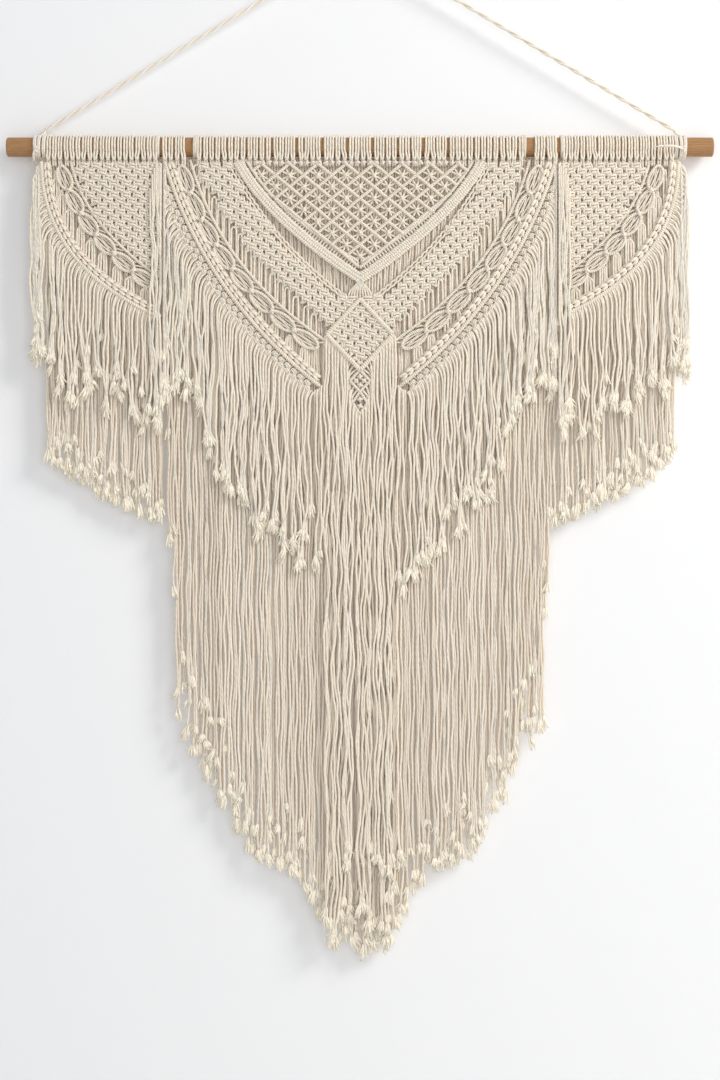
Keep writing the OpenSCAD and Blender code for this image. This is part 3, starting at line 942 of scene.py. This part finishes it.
def carrier(batch, start, end, loops):
    """The cord that a curtain hangs from, knotted to the dowel at both ends."""
    batch.add(xyz(np.linspace(start, end, 60), CARRIER_Y, CARRIER_Z), 1.35)
    for x in loops:
        a = np.linspace(-np.pi / 2, 3.5 * np.pi, 60)
        batch.add(round_dowel(x + np.linspace(-1.9, 1.9, 60), a, 1.75), 1.65)
        bar = [[x - 4.5, 0.7, -17.5], [x - 2, -1.5, -16.8], [x + 2, -1.6, -18.6], [x + 4.5, 0.7, -18.2]]
        batch.add(spline(bar, 14), 1.6)


def side_back(side, mirror, material):
    """The short curtain behind a side panel."""
    batch = Strands(side + "_back_strings")
    xs = np.arange(-409.5, -260.5, 3.7)
    xs = xs + batch.rng.normal(0, 0.25, len(xs))
    line = np.interp(xs, (-413, -330, -257), (-402, -454, -486))
    up = batch.rng.uniform(0, 1, (2, len(xs))) ** 1.5 * 48
    curtain(batch, xs, *(line + up), (-414, -SIDE_IN - ROOM))
    batch.piece(side + "_back", material, [side + "_back_curtain"], mirror)
    rail = Strands(side + "_back_carrier_cord")
    carrier(rail, -410, -261, (-SIDE_IN - 4.8, -410.3))
    rail.piece(side + "_back", material, [side + "_back_carrier"], mirror)


def tail_end(x):
    """Height of the tail's lower edge, which steps down to a tip in the middle."""
    return np.interp(np.abs(x), (0, 40, 62, 90, 143, 188, TAIL_HALF, 242, 256),
                     (-1045, -1032, -975, -938, -918, -838, -748, -600, -440))


def tail(material):
    """The long tail behind the centre panel, in four lengths side by side."""
    rail = Strands("tail_carrier_cord")
    carrier(rail, -TAIL_HALF + 1, TAIL_HALF - 1, (-214, 214))
    rail.piece("centre_back", material, ["tail_carrier"])
    all_x = np.arange(-TAIL_HALF - 16, TAIL_HALF + 16, 3.65)
    for k, xs in enumerate(np.array_split(all_x, 4)):
        batch = Strands("tail_cords_%d" % (k + 1))
        xs = xs + batch.rng.normal(0, 0.25, len(xs))
        edge = np.clip((np.abs(xs) - 160) / 70, 0, 1)
        up = batch.rng.uniform(0, 1, (2, len(xs))) ** 1.7 * (85 + 40 * edge)
        curtain(batch, xs, *(tail_end(xs) + up), (-CENTRE_OUT + ROOM, CENTRE_OUT - ROOM))
        batch.piece("centre_back", material, ["tail_curtain"])


# ---- assembly

def build(side, body, material, mirror, pieces):
    """Makes pieces, each given as its name, its CAD node, its shape and what the shape takes."""
    for name, node, shape, *given in pieces:
        batch = Strands(side + name)
        shape(batch, *given)
        batch.piece(body, material, [side + node], mirror)


def side_panel(mirror, cotton_front, cotton_back_shaded):
    """A side panel's front, and the curtain behind it."""
    side = "right" if mirror else "left"
    heads = np.arange(19)
    build(side + "_", side + "_front", cotton_front, mirror, (
        ("larks_head_knots", "larks_heads", larks_heads, -266 - 7.7 * heads, 0.5 * np.sin(heads)),
        ("square_knot_net", "knot_net", side_net),
        ("leaf_chain_ropes", "leaf_chain", leaf_chain, SIDE_LEAF, 6),
        ("border_ropes", "border_braid", bead_border, SIDE_BORDER),
        ("arched_strings", "arched_cords", arches, SIDE_LEAF, SIDE_BORDER),
        ("fringe_strings", "fringe", side_fringe)))
    side_back(side, mirror, cotton_back_shaded)


def centre_half(mirror, cotton_front):
    """The bands on one side of the centre panel, from the V out to the fringe."""
    build("right_" if mirror else "left_", "centre_front", cotton_front, mirror, (
        ("v_braid_rows", "v_braid", v_braid),
        ("net_band_knots", "net_band", net_band),
        ("leaf_cord_pairs", "leaf_cords", hairpins, NET_LOW, INNER_LEAF, 0.5, 9.5, 15.5, (5.6,)),
        ("inner_leaf_ropes", "inner_leaf_chain", leaf_chain, INNER_LEAF, 8),
        ("inner_arched_strings", "inner_arched_cords", arches, INNER_LEAF, INNER_BORDER),
        ("inner_border_ropes", "inner_border", inner_border),
        ("inner_fringe_strings", "inner_fringe", inner_fringe)))


def centre_panel(cotton_front, cotton_back_shaded):
    """The centre panel's front, and the tail behind it."""
    groups = [g * 32.8 + (k - 1.5) * (8.15 if abs(g) > 3 else 7.4) for g in range(-6, 7) for k in range(4)]
    outer = [s * (253 - 7.7 * k) for s in (-1, 1) for k in range(4)]
    heads = np.array(groups + outer)
    build("", "centre_front", cotton_front, False, (
        ("centre_larks_head_knots", "centre_larks_heads", larks_heads, heads, 0.7 * np.sin(heads * 0.21)),
        ("flower_lattice_cords", "flower_lattice", flower_lattice),
        ("gathered_strings", "gathered_cords", gathered_cords),
        ("centre_diamond_knots", "centre_diamond", diamond_panel, DIAMOND, 7.0, True),
        ("upper_small_diamond_knots", "upper_small_diamond", diamond_panel, UPPER_SMALL, 4.4, False),
        ("lower_small_diamond_knots", "lower_small_diamond", diamond_panel, LOWER_SMALL, 4.2, False)))
    for mirror in (False, True):
        centre_half(mirror, cotton_front)
    tail(cotton_back_shaded)


# ---- stage

def plane(name, corners, material):
    """A flat piece of the stage."""
    mesh = bpy.data.meshes.new(name)
    mesh.from_pydata(corners, [], [(0, 1, 2, 3)])
    mesh.materials.append(material)
    obj = add_object(name, mesh)
    return obj


def area_light(name, place, target, size, power, colour=(1, 1, 1)):
    """A soft square light that points at the target."""
    data = bpy.data.lights.new(name, "AREA")
    data.shape, data.size, data.energy, data.color = "SQUARE", size, power, colour
    light = add_object(name, data)
    light.location = place
    light.rotation_euler = (Vector(target) - Vector(place)).to_track_quat("-Z", "Y").to_euler()


def stage():
    """Wall, floor and three soft lights, in a pale room."""
    wall_y, floor_z = 0.021, -1.62
    wall = plain("wall_paint", (0.87, 0.87, 0.875), one_sided=True)
    wall = plane("wall", [(-4, wall_y, floor_z), (4, wall_y, floor_z), (4, wall_y, 3), (-4, wall_y, 3)], wall)
    wall.visible_shadow = False  # so that the lights behind it reach the hanging's back
    floor = plain("floor_paint", (0.7, 0.7, 0.695))
    plane("floor", [(-6, -6, floor_z), (6, -6, floor_z), (6, 6, floor_z), (-6, 6, floor_z)], floor)
    area_light("key_light", (2.7, -1.9, 1.2), (0, 0, -0.65), 1.3, 78, (1.0, 0.985, 0.965))
    area_light("fill_light", (0.2, -3.5, -0.6), (0, 0, -0.7), 2.6, 32)
    area_light("back_light", (1.2, 2.5, -0.1), (0, 0, -0.6), 2.0, 38)
    world = bpy.data.worlds.new("studio")
    world.use_nodes = True
    colour, strength = world.node_tree.nodes["Background"].inputs[:2]
    colour.default_value, strength.default_value = (0.95, 0.97, 1.0, 1), 0.54
    bpy.context.scene.world = world
    bpy.context.scene.view_settings.view_transform = "Standard"


def main():
    """The cords first, then the dowel and what hangs on it."""
    add_camera()
    hang_cotton = cotton("hanging_cotton", (0.885, 0.815, 0.71), (0.82, 0.74, 0.625), (0.58, 0.49, 0.385),
                         ply=0.005)
    front_cotton = cotton("natural_cotton", (0.885, 0.798, 0.675), (0.815, 0.722, 0.59), (0.60, 0.50, 0.375))
    # The cords behind: a copy of the same cotton whose mid and shade tones are darker, painted shade for the
    # layer that hangs behind the front; its light tone is brighter, for a wider spread of tone from cord to
    # cord.
    back_cotton_shaded = cotton("back_cotton_shaded", (0.92, 0.83, 0.71), (0.69, 0.60, 0.485), (0.52, 0.43, 0.32))
    hanging_cord(hang_cotton)
    long_fringe(front_cotton)
    for mirror in (False, True):
        hanger_knot(mirror, hang_cotton)
    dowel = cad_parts["dowel"]
    dowel.data.materials.clear()
    dowel.data.materials.append(oak())
    for mirror in (False, True):
        side_panel(mirror, front_cotton, back_cotton_shaded)
    centre_panel(front_cotton, back_cotton_shaded)
    stage()


main()
